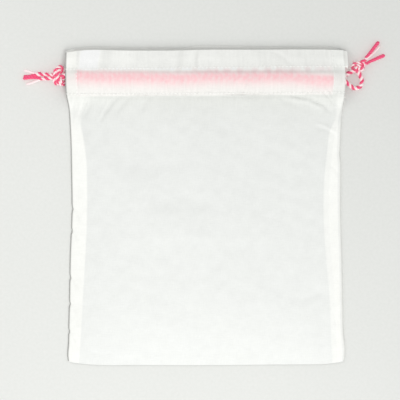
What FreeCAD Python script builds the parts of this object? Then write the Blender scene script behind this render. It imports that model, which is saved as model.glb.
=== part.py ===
"""Drawstring knitting bag of thin white cotton, lying flat on its back panel.

Frame: millimetres, +Z up from the surface the bag lies on, +Y towards the mouth, +X to the
bag's right. The origin is under the centre of the bag at the height of that surface.

The cloth is folded at the bottom and sewn up both sides. Above the side seams the front and
back are open as two slits, whose allowances are folded back. The mouth's edge is folded down
inside as a deep hem, and two stitch rows across it make a channel in the front and one in the
back. Two cord loops run through both channels: the left one is knotted outside the left slit
and turns round inside the right slit, and the right one the other way round.
"""
import FreeCAD, Part
import math
import os

Vec = FreeCAD.Vector

# ---- driving dimensions -------------------------------------------------------------------
LENGTH = 252.0              # bottom fold to mouth edge
MOUTH_HALF = 112.7          # half the width across the mouth
CLOTH = 0.3                 # one layer of cotton sheeting
GAP = 0.1                   # air between two loose layers
CORD = 3.4                  # drawcord, twisted from two strands
CORD_SPACING = 3.7          # between the two cords of one channel
HEM_DEPTH = 36.5            # mouth edge down to the lower edge of the hem
HEADER = 14.0               # mouth edge down to the upper stitch row
LOWER_ROW_UP = 2.0          # lower stitch row above the hem's lower edge
HEM_TURN = 5.5              # raw edge of the hem turned under
SLIT_HEM = 10.4             # slit allowance folded back
MOUTH_GAP = 4.8             # open height between the front and back of the casings
HEADER_SINK = 4.4           # the front header slopes down this much to the mouth edge
BODY_RISE = 10.4            # top of the front panel over its flat middle
RIM_TOP = 1.5               # top of the front panel at the side seams and the bottom fold
THREAD_WIDE = 0.4
THREAD_HIGH = 0.15
OVERLOCK_WIDE = 4.8

# ---- levels and lines worked out from them ------------------------------------------------
MOUTH_Y = LENGTH / 2
BOTTOM_Y = -LENGTH / 2
HEM_Y = MOUTH_Y - HEM_DEPTH
UPPER_ROW_Y = MOUTH_Y - HEADER
LOWER_ROW_Y = HEM_Y + LOWER_ROW_UP
CORDS_Y = 104.4
UPPER_CORD_Y = CORDS_Y + CORD_SPACING / 2
LOWER_CORD_Y = CORDS_Y - CORD_SPACING / 2
SLIT_INNER = MOUTH_HALF - SLIT_HEM
SLIT_FOOT_Y = HEM_Y + 1.2

BACK_CORD_Z = 2 * CLOTH + 2 * GAP + CORD / 2
BACK_CHANNEL_TOP = BACK_CORD_Z + CORD / 2 + GAP + CLOTH
FRONT_FACING_Z = BACK_CHANNEL_TOP + MOUTH_GAP
FRONT_CORD_Z = FRONT_FACING_Z + CLOTH + GAP + CORD / 2
FRONT_CHANNEL_TOP = FRONT_CORD_Z + CORD / 2 + GAP + 2 * CLOTH

BIGHT_X = 100.5                                   # where each loop starts to turn round
BIGHT_RADIUS = (FRONT_CORD_Z - BACK_CORD_Z) / 2
FACING_HALF = BIGHT_X - 0.8                       # hem facings stop short of the bights
EXIT_X = MOUTH_HALF - 0.9                         # held cord ends just inside the slit

# Half the bag's width at each height, from the foot of the slit to the bottom fold.
SIDE_POINTS = [(HEM_Y, 112.2), (72, 109.2), (50, 107.6), (15, 106.9), (-40, 107.9),
               (-90, 109.2), (BOTTOM_Y + 0.75, 110.6)]
# Inner edge of the seam allowances: narrow at the top, wide beside the waist.
ALLOWANCE_POINTS = [(HEM_Y - 1.5, 102.8), (60, 98.4), (10, 95.4), (-70, 98.8),
                    (BOTTOM_Y + 4, 101.6)]

parts = {}
cord_report = []


# ---- helpers ------------------------------------------------------------------------------
def spline(points):
    """One smooth edge through the points."""
    curve = Part.BSplineCurve()
    curve.interpolate([Vec(*p) for p in points])
    return curve.toShape()


def loop_face(edges):
    return Part.Face(Part.Wire(edges))


def box(x0, x1, y0, y1, z0, z1):
    return Part.makeBox(x1 - x0, y1 - y0, z1 - z0, Vec(x0, y0, z0))


def both_sides(name, solid_on_right):
    """Stores a solid that was made on the +X side, and its mirror image on the -X side."""
    parts["right_" + name] = solid_on_right
    parts["left_" + name] = solid_on_right.mirror(Vec(0, 0, 0), Vec(1, 0, 0))


def strip_between(outer, inner, z, high):
    """A strip lying flat between two curves of (y, half width) points, on the +X side."""
    a = spline([(x, y, z) for y, x in outer])
    b = spline([(x, y, z) for y, x in inner])
    ends = [Part.makeLine(curve_end(a, last), curve_end(b, last)) for last in (False, True)]
    return loop_face([a, ends[1], b, ends[0]]).extrude(Vec(0, 0, high))


def curve_end(edge, last):
    return edge.valueAt(edge.LastParameter if last else edge.FirstParameter)


def side_curve(inset, low=SIDE_POINTS[-1][0], high=HEM_Y):
    """The side outline moved inwards by inset, with its ends at the given heights."""
    middle = [(y, x - inset) for y, x in SIDE_POINTS[1:-1]]
    return [(high, SIDE_POINTS[0][1] - inset), *middle, (low, SIDE_POINTS[-1][1] - inset)]


# ---- front and back panels ----------------------------------------------------------------
def panel_top(u, y):
    """Height of the front panel's upper face: flat in the middle, falling to its rims."""
    slope_from = -60.0
    fold_y = SIDE_POINTS[-1][0]
    t = max(0.0, (slope_from - y) / (slope_from - fold_y))
    middle = RIM_TOP + (BODY_RISE - RIM_TOP) * (1 - t ** 3)
    return RIM_TOP + (middle - RIM_TOP) * (1 - abs(u) ** 6)


def half_width(y):
    """Half width of the bag at height y, read from the side outline."""
    edge = spline([(x, py, 0) for py, x in SIDE_POINTS])
    line = Part.makeLine(Vec(0, y, 0), Vec(200, y, 0))
    return edge.distToShape(line)[1][0][0].x


def make_panels():
    rows = [HEM_Y, 72, 50, 15, -25, -60, -85, -103, -115, -121.5, SIDE_POINTS[-1][0]]
    columns = [-1, -0.96, -0.88, -0.75, -0.5, -0.2, 0.2, 0.5, 0.75, 0.88, 0.96, 1]
    widths = [half_width(y) for y in rows]
    grid = [[Vec(u * w, y, panel_top(u, y)) for u in columns] for y, w in zip(rows, widths)]
    surface = Part.BSplineSurface()
    surface.interpolate(grid)
    parts["front_panel"] = surface.toShape().extrude(Vec(0, 0, -CLOTH))

    right = spline([(x, y, 0) for y, x in SIDE_POINTS])
    left = spline([(-x, y, 0) for y, x in SIDE_POINTS])
    top = Part.makeLine(curve_end(left, False), curve_end(right, False))
    bottom = Part.makeLine(curve_end(left, True), curve_end(right, True))
    parts["back_panel"] = loop_face([right, bottom, left, top]).extrude(Vec(0, 0, CLOTH))


def make_bottom_fold():
    """The turn of cloth that joins the two panels along the bottom."""
    half_length = SIDE_POINTS[-1][1]
    outer = RIM_TOP / 2
    start = Vec(-half_length, BOTTOM_Y + outer, outer)
    along = Vec(1, 0, 0)
    ring = Part.makeCylinder(outer, 2 * half_length, start, along)
    ring = ring.cut(Part.makeCylinder(outer - CLOTH, 2 * half_length, start, along))
    below = box(-half_length, half_length, BOTTOM_Y - 1, BOTTOM_Y + outer, -1, RIM_TOP + 1)
    parts["bottom_fold"] = ring.common(below).Solids[0]


# ---- side seams ---------------------------------------------------------------------------
def make_side_seams():
    seam_wide = 0.5
    front_allowance_z = 2 * CLOTH + 0.25
    back_allowance_z = CLOTH + 0.15
    top_of_both = front_allowance_z + CLOTH
    seam = strip_between(side_curve(0), side_curve(seam_wide), CLOTH, RIM_TOP - 2 * CLOTH)
    both_sides("side_seam", seam)

    allowance_outer = side_curve(seam_wide + 0.5, BOTTOM_Y + 4, HEM_Y - 1.5)
    for layer, z in (("front", front_allowance_z), ("back", back_allowance_z)):
        strip = strip_between(allowance_outer, ALLOWANCE_POINTS, z, CLOTH)
        both_sides("allowance_" + layer, strip)
    overlock_outer = [(y, x + OVERLOCK_WIDE) for y, x in ALLOWANCE_POINTS]
    overlock = strip_between(overlock_outer, ALLOWANCE_POINTS, top_of_both, THREAD_HIGH)
    both_sides("overlock_thread", overlock)

    bartack_wide, bartack_long = 2.0, 1.0
    bartack_x = MOUTH_HALF - 3.6
    bartack = box(bartack_x, bartack_x + bartack_wide, HEM_Y - 1.2, HEM_Y - 1.2 + bartack_long,
                  CLOTH, front_allowance_z)
    both_sides("slit_bartack", bartack)


# ---- mouth: hems, casings and slit hems ---------------------------------------------------
def arched_layer(x0, x1, foot_y, row_z, over_cords_z, header_z, thick, sink=0.0):
    """A layer of cloth from x0 to x1, given by the heights of its upper face.

    It lies flat at the lower stitch row, rises over the two cords, and comes down again to
    the header above the upper stitch row, which ends sink lower at the mouth edge.
    """
    flat_half = CORD_SPACING / 2 + CORD * 0.4
    rise_from, rise_to = LOWER_ROW_Y + 0.8, CORDS_Y - flat_half
    fall_from, fall_to = CORDS_Y + flat_half, UPPER_ROW_Y - 0.8
    level_to = UPPER_ROW_Y + 0.8

    def surface_line(drop):
        low, high, head = row_z - drop, over_cords_z - drop, header_z - drop
        return [Part.makeLine(Vec(x0, foot_y, low), Vec(x0, rise_from, low)),
                ramp(x0, rise_from, low, rise_to, high),
                Part.makeLine(Vec(x0, rise_to, high), Vec(x0, fall_from, high)),
                ramp(x0, fall_from, high, fall_to, head),
                Part.makeLine(Vec(x0, fall_to, head), Vec(x0, level_to, head)),
                Part.makeLine(Vec(x0, level_to, head), Vec(x0, MOUTH_Y, head - sink))]

    upper, lower = surface_line(0), surface_line(thick)
    foot = Part.makeLine(Vec(x0, foot_y, row_z), Vec(x0, foot_y, row_z - thick))
    mouth_z = header_z - sink
    top = Part.makeLine(Vec(x0, MOUTH_Y, mouth_z), Vec(x0, MOUTH_Y, mouth_z - thick))
    edges = Part.__sortEdges__([*upper, top, *lower, foot])
    return loop_face(edges).extrude(Vec(x1 - x0, 0, 0))


def ramp(x, y0, z0, y1, z1):
    """A smooth rise or fall that is level at both ends."""
    middle = (y0 + y1) / 2
    curve = Part.BezierCurve()
    curve.setPoles([Vec(x, y0, z0), Vec(x, middle, z0), Vec(x, middle, z1), Vec(x, y1, z1)])
    return curve.toShape()


def make_mouth():
    front_header = FRONT_FACING_Z + 2 * CLOTH + GAP
    front_row = front_header + CLOTH
    front_heights = (front_row, FRONT_CHANNEL_TOP, front_header)
    x_mid = SLIT_INNER - 0.1
    parts["front_casing"] = arched_layer(-x_mid, x_mid, HEM_Y, *front_heights, CLOTH, HEADER_SINK)
    both_sides("slit_front_hem",
               arched_layer(SLIT_INNER, MOUTH_HALF, SLIT_FOOT_Y, *front_heights, 2 * CLOTH,
                            HEADER_SINK))
    facing_top = FRONT_FACING_Z + CLOTH
    front_facing = arched_layer(-FACING_HALF, FACING_HALF, HEM_Y, facing_top, facing_top,
                                facing_top, CLOTH, HEADER_SINK)
    turned = box(-FACING_HALF, FACING_HALF, HEM_Y, HEM_Y + HEM_TURN, FRONT_FACING_Z,
                 FRONT_FACING_Z + 2 * CLOTH)
    parts["front_hem_facing"] = front_facing.fuse(turned).removeSplitter().Solids[0]

    parts["back_casing"] = box(-x_mid, x_mid, HEM_Y, MOUTH_Y, 0, CLOTH)
    both_sides("slit_back_hem", box(SLIT_INNER, MOUTH_HALF, SLIT_FOOT_Y, MOUTH_Y, 0, 2 * CLOTH))
    back_flat = 2 * CLOTH + GAP
    parts["back_hem_facing"] = arched_layer(-FACING_HALF, FACING_HALF, HEM_Y, back_flat + CLOTH,
                                            BACK_CHANNEL_TOP, back_flat, CLOTH)

    rows = {"upper": (UPPER_ROW_Y, front_header, back_flat),
            "lower": (LOWER_ROW_Y, front_row, back_flat + CLOTH)}
    for row, (y, front_z, back_z) in rows.items():
        for side, z, half in (("front", front_z, x_mid), ("back", back_z, FACING_HALF)):
            low, high = y - THREAD_WIDE / 2, y + THREAD_WIDE / 2
            parts[f"{side}_{row}_stitches"] = box(-half, half, low, high, z, z + THREAD_HIGH)

    slit_row_x = SLIT_INNER + 1.2
    thread_heights = [z + THREAD_HIGH for z in front_heights]
    both_sides("slit_front_stitches",
               arched_layer(slit_row_x, slit_row_x + THREAD_WIDE, SLIT_FOOT_Y, *thread_heights,
                            THREAD_HIGH, HEADER_SINK))
    both_sides("slit_back_stitches",
               box(slit_row_x, slit_row_x + THREAD_WIDE, SLIT_FOOT_Y, MOUTH_Y, 2 * CLOTH,
                   2 * CLOTH + THREAD_HIGH))


# ---- drawcords ----------------------------------------------------------------------------
def rounded_path(points):
    """Straight runs joined by tangent arcs, each as large as its two runs allow."""
    points = [Vec(*p) for p in points]
    edges, radii = [], []
    here = points[0]
    for before, corner, after in zip(points, points[1:], points[2:]):
        back, on = (before - corner), (after - corner)
        half_turn = (math.pi - back.getAngle(on)) / 2
        shorter = min(back.Length, on.Length)
        cut = 0.45 * shorter
        radius = cut / math.tan(half_turn)
        start = corner + back.normalize() * cut
        stop = corner + on.normalize() * cut
        inward = (start + stop) * 0.5 - corner
        reach = radius / math.cos(half_turn) - radius
        middle = corner + inward.normalize() * reach
        edges += [Part.LineSegment(here, start).toShape(), Part.Arc(start, middle, stop).toShape()]
        radii.append(radius)
        here = stop
    edges.append(Part.LineSegment(here, points[-1]).toShape())
    return edges, radii


def tube(name, edges, radii):
    """Sweeps the cord's round section along a path of tangent edges, and checks its volume."""
    path = Part.Wire(edges)
    start, heading = path.Edges[0].valueAt(path.Edges[0].FirstParameter), path.Edges[0].tangentAt(
        path.Edges[0].FirstParameter)
    section = Part.Wire(Part.makeCircle(CORD / 2, start, heading))
    solid = path.makePipeShell([section], True, False)
    parts[name] = solid
    wanted = math.pi * (CORD / 2) ** 2 * path.Length
    cord_report.append((name, path.Length, radii, solid.Volume / wanted))


def cord_loop(name, side, y, front_end, back_end):
    """The held part of a drawcord: front run, bight at the far slit, back run.

    side is the slit that it leaves by: +1 on the right, -1 on the left. Each end lists the
    points of its last stretch inside the slit, as (x, y, z) on the +X side.
    """
    turn = -side * BIGHT_X
    front_points = [(side * px, py, pz) for px, py, pz in front_end]
    back_points = [(side * px, py, pz) for px, py, pz in back_end]
    mid_z = (FRONT_CORD_Z + BACK_CORD_Z) / 2
    front, front_radii = rounded_path([(turn, y, FRONT_CORD_Z), *front_points])
    back, back_radii = rounded_path([(turn, y, BACK_CORD_Z), *back_points])
    bight = Part.Arc(Vec(turn, y, BACK_CORD_Z), Vec(turn - side * BIGHT_RADIUS, y, mid_z),
                     Vec(turn, y, FRONT_CORD_Z)).toShape()
    chain = [flipped(edge) for edge in reversed(back)] + [bight] + front
    tube(name, chain, [BIGHT_RADIUS, *front_radii, *back_radii])


def flipped(edge):
    """The same line or arc, run from its other end."""
    first, last = edge.FirstParameter, edge.LastParameter
    a, b = edge.valueAt(first), edge.valueAt(last)
    if edge.Curve.TypeId == "Part::GeomCircle":
        return Part.Arc(b, edge.valueAt((first + last) / 2), a).toShape()
    return Part.LineSegment(b, a).toShape()


def barrel(name, centre, length, radius, heading):
    """The outer shape of a knot: a round barrel with well rounded ends."""
    heading = Vec(*heading).normalize()
    base = Vec(*centre) - heading * (length / 2)
    solid = Part.makeCylinder(radius, length, base, heading)
    rims = [edge for edge in solid.Edges if edge.Closed]
    parts[name] = solid.makeFillet(0.62 * radius, rims).Solids[0]


# The left loop's ends come straight out of the left slit into a knot tight against it.
LEFT_FRONT_END = [(105.0, UPPER_CORD_Y, FRONT_CORD_Z), (EXIT_X, 106.0, 8.8)]
LEFT_BACK_END = [(105.0, UPPER_CORD_Y, BACK_CORD_Z), (EXIT_X, 105.6, 3.2)]
LEFT_FRONT_EXIT = [(-EXIT_X, 106.0, 8.8), (-116.0, 105.8, 7.2)]
LEFT_BACK_EXIT = [(-EXIT_X, 105.6, 3.2), (-116.0, 105.2, 3.6)]
LEFT_KNOT_CENTRE = (-118.0, 105.2, 5.2)
LEFT_TAIL_UPPER = [(-121.4, 107.4, 5.4), (-130.2, 107.0, 3.6), (-139.0, 107.6, 2.4),
                   (-147.2, 109.2, 1.9)]
LEFT_TAIL_LOWER = [(-121.4, 103.2, 4.6), (-130.0, 103.2, 3.1), (-138.6, 102.4, 2.2),
                   (-146.6, 100.6, 1.85)]

# The right loop's back end leaves near its knot. Its front end leaves lower down and curls
# round outside the slit before it reaches the knot.
RIGHT_FRONT_END = [(103.5, LOWER_CORD_Y, FRONT_CORD_Z), (109.4, 101.4, 10.0)]
RIGHT_BACK_END = [(104.0, LOWER_CORD_Y, BACK_CORD_Z), (111.2, 106.2, 3.0)]
RIGHT_FRONT_EXIT = [(109.4, 101.4, 10.0), (112.3, 100.3, 8.8), (115.2, 97.0, 6.5),
                    (119.2, 95.2, 4.2), (123.0, 96.6, 2.9), (124.9, 100.3, 2.5),
                    (123.9, 104.5, 2.9), (122.2, 109.4, 4.0)]
RIGHT_BACK_EXIT = [(111.2, 106.2, 3.0), (114.6, 108.5, 3.7), (118.2, 110.6, 4.6)]
RIGHT_KNOT_CENTRE = (121.4, 112.6, 4.8)
RIGHT_TAIL_UPPER = [(123.2, 115.6, 5.6), (128.6, 122.0, 3.7), (133.0, 127.9, 2.5),
                    (137.4, 133.0, 1.9)]
RIGHT_TAIL_LOWER = [(125.8, 113.6, 4.0), (131.6, 117.0, 3.0), (137.0, 119.5, 2.2),
                    (142.4, 122.4, 1.85)]


def make_drawcords():
    cord_loop("left_drawcord_loop", -1, UPPER_CORD_Y, LEFT_FRONT_END, LEFT_BACK_END)
    cord_loop("right_drawcord_loop", 1, LOWER_CORD_Y, RIGHT_FRONT_END, RIGHT_BACK_END)
    stretches = {
        "left_drawcord_exit_front": LEFT_FRONT_EXIT, "left_drawcord_exit_back": LEFT_BACK_EXIT,
        "left_drawcord_tail_upper": LEFT_TAIL_UPPER, "left_drawcord_tail_lower": LEFT_TAIL_LOWER,
        "right_drawcord_exit_front": RIGHT_FRONT_EXIT, "right_drawcord_exit_back": RIGHT_BACK_EXIT,
        "right_drawcord_tail_upper": RIGHT_TAIL_UPPER, "right_drawcord_tail_lower": RIGHT_TAIL_LOWER,
    }
    for name, points in stretches.items():
        tube(name, *rounded_path(points))
    barrel("left_drawcord_knot", LEFT_KNOT_CENTRE, 17.0, 4.9, (0, 1, 0))
    barrel("right_drawcord_knot", RIGHT_KNOT_CENTRE, 11.4, 4.2, (1, 0.35, 0))


def main():
    make_panels()
    make_bottom_fold()
    make_side_seams()
    make_mouth()
    make_drawcords()
    os.makedirs("parts", exist_ok=True)
    for name, shape in parts.items():
        shape.exportStep(f"parts/{name}.step")
        if not shape.isValid() or shape.Volume <= 0:
            print("check", name, shape.isValid(), shape.Volume)
    for name, length, radii, ratio in cord_report:
        turns = ", ".join(f"{r:.1f}" for r in radii)
        print(f"{name}: length {length:.1f} mm, volume ratio {ratio:.4f}, radii {turns} mm")
    low = [min(s.BoundBox.XMin for s in parts.values()), min(s.BoundBox.ZMin for s in parts.values())]
    print(len(parts), "parts; lowest x and z", low)


main()
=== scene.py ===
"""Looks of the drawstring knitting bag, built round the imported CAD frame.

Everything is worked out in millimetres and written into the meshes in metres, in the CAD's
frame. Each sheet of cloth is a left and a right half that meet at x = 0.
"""
import math

import bpy
import numpy as np
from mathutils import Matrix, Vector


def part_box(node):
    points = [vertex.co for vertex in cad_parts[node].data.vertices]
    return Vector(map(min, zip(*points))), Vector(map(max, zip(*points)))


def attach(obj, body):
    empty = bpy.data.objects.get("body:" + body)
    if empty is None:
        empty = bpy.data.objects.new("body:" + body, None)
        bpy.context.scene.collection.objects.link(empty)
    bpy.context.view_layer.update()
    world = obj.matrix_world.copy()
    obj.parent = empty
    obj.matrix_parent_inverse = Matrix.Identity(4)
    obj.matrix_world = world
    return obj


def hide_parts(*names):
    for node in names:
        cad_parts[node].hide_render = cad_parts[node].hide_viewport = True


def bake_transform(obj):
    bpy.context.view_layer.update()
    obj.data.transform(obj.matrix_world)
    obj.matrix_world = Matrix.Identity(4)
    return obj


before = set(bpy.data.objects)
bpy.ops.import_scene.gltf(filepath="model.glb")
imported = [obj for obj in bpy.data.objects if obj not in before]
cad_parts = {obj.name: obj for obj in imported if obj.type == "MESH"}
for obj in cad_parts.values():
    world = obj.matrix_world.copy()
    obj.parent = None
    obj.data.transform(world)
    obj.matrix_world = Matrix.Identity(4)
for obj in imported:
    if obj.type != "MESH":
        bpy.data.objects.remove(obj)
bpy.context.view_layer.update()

MM = 0.001
LEFT, RIGHT = -1, 1
SIDE_NAME = {LEFT: "left", RIGHT: "right"}
UP = np.array([0.0, 0.0, 1.0])

# ---- the bag's driving dimensions, as in the CAD (mm) ---------------------------------------
MOUTH_HALF = 112.7
MOUTH_Y = 126.0
BOTTOM_Y = -126.0
HEM_Y = 89.5
UPPER_ROW_Y = 112.0
LOWER_ROW_UP = 2.0                # the lower row's height above the casing's lower edge
SLIT_INNER = 102.3                # where the slit hem begins, from the middle
FACING_HALF = 99.7
CLOTH = 0.3
UPPER_CORD_Y = 106.25
LOWER_CORD_Y = 102.55
FRONT_CORD_Z = 11.5
BACK_CORD_Z = 2.5
STITCH_PITCH = 3.1
TWIST_PITCH = 5.6

scene = bpy.context.scene
scene.view_settings.view_transform = "Standard"


def linear(red, green, blue):
    """A colour given as it shows on a screen, 0 to 255, in the renderer's linear units."""
    def one(value):
        c = value / 255
        return c / 12.92 if c <= 0.04045 else ((c + 0.055) / 1.055) ** 2.4
    return np.array([one(red), one(green), one(blue)])


# ---- camera, light and floor ------------------------------------------------------------------
FRAME_WIDTH = 320.0
LENS, SENSOR = 200.0, 36.0
VIEW_CENTRE = (-5.4, 6.24)
CENTRE_HEIGHT = 4.0               # the height at which the frame is FRAME_WIDTH wide
WARM_WHITE = (1.0, 0.995, 0.985)
SKY_WHITE = (0.985, 1.0, 0.995, 1)
SKY_STRENGTH = 0.628

camera_data = bpy.data.cameras.new("camera")
camera_data.lens = LENS
camera_data.sensor_width = SENSOR
camera = bpy.data.objects.new("camera", camera_data)
scene.collection.objects.link(camera)
camera.location = (VIEW_CENTRE[0] * MM, VIEW_CENTRE[1] * MM,
                   (FRAME_WIDTH * LENS / SENSOR + CENTRE_HEIGHT) * MM)
camera_data.clip_start, camera_data.clip_end = 0.05, 20
scene.camera = camera

world = bpy.data.worlds.new("studio")
scene.world = world
world.use_nodes = True
world.node_tree.nodes["Background"].inputs["Color"].default_value = SKY_WHITE
world.node_tree.nodes["Background"].inputs["Strength"].default_value = SKY_STRENGTH


def add_light(name, kind, energy):
    data = bpy.data.lights.new(name, kind)
    data.energy = energy
    data.color = WARM_WHITE
    light = bpy.data.objects.new(name, data)
    scene.collection.objects.link(light)
    return light


def area_light(name, place, aim, size, power):
    """A square lamp at a place in metres, turned towards aim."""
    light = add_light(name, "AREA", power)
    light.data.shape = "SQUARE"
    light.data.size = size
    light.location = place
    direction = np.array(aim, float) - np.array(place, float)
    yaw = math.atan2(direction[1], direction[0])
    pitch = math.acos(-direction[2] / np.linalg.norm(direction))
    light.rotation_euler = (pitch, 0, yaw - math.pi / 2)


area_light("fill_low", (0.0, -0.38, 0.40), (0, -0.02, 0), 0.25, 0.66)
area_light("fill_left", (-0.38, 0.10, 0.36), (-0.04, 0.04, 0), 0.25, 0.32)
key = add_light("key", "SUN", 0.93)
key.data.angle = math.radians(24)
key.rotation_euler = (math.radians(33), 0, math.radians(30))


# ---- materials --------------------------------------------------------------------------------
class Shader:
    """A new material, with short ways to add nodes to it."""

    def __init__(self, name):
        self.made = bpy.data.materials.new(name)
        self.made.use_nodes = True
        self.tree = self.made.node_tree
        self.bsdf = self.tree.nodes["Principled BSDF"]

    def feed(self, node, inputs):
        """Links the inputs that are given as sockets, and sets the plain values."""
        for key, value in inputs.items():
            if isinstance(value, bpy.types.NodeSocket):
                self.tree.links.new(value, node.inputs[key])
            else:
                node.inputs[key].default_value = value
        return node

    def node(self, kind, inputs=None, **settings):
        node = self.tree.nodes.new("ShaderNode" + kind)
        for key, value in settings.items():
            setattr(node, key, value)
        return self.feed(node, inputs or {})

    def math(self, operation, *values):
        return self.node("Math", dict(enumerate(values)), operation=operation).outputs[0]

    def mixture(self, *parts):
        """A weighted sum of (socket, share) parts."""
        scaled = [self.math("MULTIPLY", *part) for part in parts]
        total = scaled[0]
        for part in scaled[1:]:
            total = self.math("ADD", total, part)
        return total

    def noise(self, place, scale, detail=3.0, stretch=None):
        if stretch is not None:
            place = self.node("Mapping", {"Vector": place, "Scale": stretch}).outputs["Vector"]
        return self.node("TexNoise", {"Vector": place, "Scale": scale,
                                      "Detail": detail}).outputs["Fac"]

    def own_place(self):
        return self.node("TexCoord").outputs["Object"]

    def ramp(self, amount, dark, light, start=0.0, end=1.0):
        """Colours the surface from dark to light as the amount goes from start to end."""
        node = self.node("ValToRGB", {"Fac": amount})
        for element, place, colour in zip(node.color_ramp.elements, (start, end), (dark, light)):
            element.position = place
            element.color = (*colour, 1)
        self.feed(self.bsdf, {"Base Color": node.outputs["Color"]})

    def bump(self, height, strength, distance):
        node = self.node("Bump", {"Strength": strength, "Distance": distance, "Height": height})
        self.feed(self.bsdf, {"Normal": node.outputs["Normal"]})


WEAVE_PITCH = 0.74
THREAD_SHADE, CLOUD_SHADE, WEAVE_SHADE = 0.085, 0.085, 0.012


def cotton_material():
    """Plain-weave cotton. Its threads follow the cloth's own flat coordinates."""
    shader = Shader("white_cotton_weave")
    flat = shader.node("UVMap", uv_map="flat").outputs["UV"]
    parts = shader.node("SeparateXYZ", {0: flat}).outputs
    per_thread = 2 * math.pi / (WEAVE_PITCH * MM)
    across, along = (shader.math("SINE", shader.math("MULTIPLY", parts[axis], per_thread))
                     for axis in "XY")
    weave = shader.math("MULTIPLY", across, along)
    warp = shader.noise(flat, 1.0, stretch=(1500, 190, 1))
    weft = shader.noise(flat, 1.0, stretch=(170, 1300, 1))
    cloud = shader.noise(flat, 130.0, 6.0)
    threads = shader.math("ADD", warp, weft)
    # noise lies near one half, and the two thread noises together near one
    average = 1.0 - THREAD_SHADE - 0.042
    shade = shader.math("ADD", average, shader.mixture(
        (threads, THREAD_SHADE), (cloud, CLOUD_SHADE), (weave, WEAVE_SHADE)))
    tint = shader.node("Attribute", attribute_name="tint").outputs["Color"]
    shaded = shader.node("VectorMath", operation="SCALE")
    shader.feed(shaded, {0: tint, "Scale": shade})
    shader.feed(shader.bsdf, {"Base Color": shaded.outputs["Vector"], "Roughness": 0.93,
                              "Specular IOR Level": 0.22, "Sheen Weight": 0.06,
                              "Sheen Roughness": 0.6})
    shader.bump(shader.mixture((weave, 0.5), (threads, 0.9)), 0.30, 0.00012)
    return shader.made


def yarn_material(name, light, dark, sheen):
    """Soft spun yarn with fine fibres: painted light on the ply crowns, painted shade in the
    grooves.
    """
    shader = Shader(name)
    place = shader.own_place()
    fibres = shader.noise(place, 1.0, 4.0, stretch=(900, 2600, 2600))
    tufts = shader.noise(place, 620.0)
    # the ply pattern paints light on the crowns of the plies and shade in their grooves
    ply = shader.node("Attribute", attribute_name="ply").outputs["Fac"]
    amount = shader.mixture((fibres, 0.42), (tufts, 0.34), (ply, 0.34))
    shader.ramp(amount, dark, light, 0.30, 0.66)
    shader.feed(shader.bsdf, {"Roughness": 0.85, "Specular IOR Level": 0.2,
                              "Sheen Weight": sheen, "Sheen Roughness": 0.4,
                              "Sheen Tint": (1.0, 0.86, 0.90, 1)})
    shader.bump(shader.math("ADD", fibres, tufts), 0.5, 0.00025)
    return shader.made


def thread_material():
    """Sewing thread: white, a little shinier than the cloth, with the twist showing."""
    shader = Shader("sewing_thread_twist")
    wave = shader.node("TexWave", {"Scale": 900.0, "Distortion": 2.0,
                                   "Vector": shader.own_place()},
                       wave_type="BANDS", bands_direction="DIAGONAL").outputs["Fac"]
    shader.ramp(wave, (0.90, 0.90, 0.88), (0.97, 0.97, 0.95))
    shader.feed(shader.bsdf, {"Roughness": 0.62, "Sheen Weight": 0.1})
    shader.bump(wave, 0.3, 0.0001)
    return shader.made


def floor_material():
    """The plain pale surface under the bag, very slightly uneven."""
    shader = Shader("pale_floor")
    place = shader.own_place()
    fine = shader.noise(place, 420.0, 6.0)
    shader.ramp(shader.mixture((shader.noise(place, 9.0, 2.0), 0.25), (fine, 0.75)),
                (0.694, 0.705, 0.680), (0.788, 0.789, 0.772))
    shader.feed(shader.bsdf, {"Roughness": 0.8, "Specular IOR Level": 0.15})
    shader.bump(fine, 0.06, 0.0006)
    return shader.made


cotton = cotton_material()
thread = thread_material()
pink_yarn = yarn_material("pink_yarn", linear(248, 102, 140), linear(224, 54, 102), 0.9)
white_yarn = yarn_material("white_yarn", linear(255, 243, 242), linear(254, 222, 228), 0.6)


# ---- mesh helpers -----------------------------------------------------------------------------
def add_mesh(name, points, faces, materials, face_material=None):
    """A mesh object from points in millimetres."""
    mesh = bpy.data.meshes.new(name)
    mesh.from_pydata((np.asarray(points) * MM).tolist(), [], faces)
    for made in materials:
        mesh.materials.append(made)
    mesh.polygons.foreach_set("use_smooth", [True] * len(mesh.polygons))
    if face_material is not None:
        mesh.polygons.foreach_set("material_index", list(face_material))
    mesh.update()
    made = bpy.data.objects.new(name, mesh)
    scene.collection.objects.link(made)
    return made


def grid_faces(rows, columns, first=0, closed=False):
    """Quads of a grid of points stored row by row; closed joins the last column to the first."""
    r = np.arange(rows - 1)[:, None]
    c = np.arange(columns if closed else columns - 1)[None, :]
    after = (c + 1) % columns
    a = first + r * columns + c
    b = first + r * columns + after
    return np.stack([a, b, b + columns, a + columns], axis=-1).reshape(-1, 4)


def smooth(t):
    t = np.clip(t, 0.0, 1.0)
    return t * t * (3 - 2 * t)


def rise(v, start, length):
    """0 up to start, 1 from start + length on, and smooth in between."""
    return smooth((v - start) / length)


def bell(v, width):
    """1 where v is 0, and falling away on both sides."""
    return np.exp(-(v / width) ** 2)


def unit(vectors):
    """The same directions, each with length 1."""
    return vectors / np.maximum(np.linalg.norm(vectors, axis=-1, keepdims=True), 1e-9)


def joined(*parts):
    """Points (or vectors) from their parts along each direction."""
    return np.stack(parts, axis=-1)


def spread(rows, share):
    """Two grids, rows by columns: each point's row value, and its column value."""
    return (np.repeat(rows[:, None], len(share), axis=1),
            np.repeat(share[None, :], len(rows), axis=0))


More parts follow.
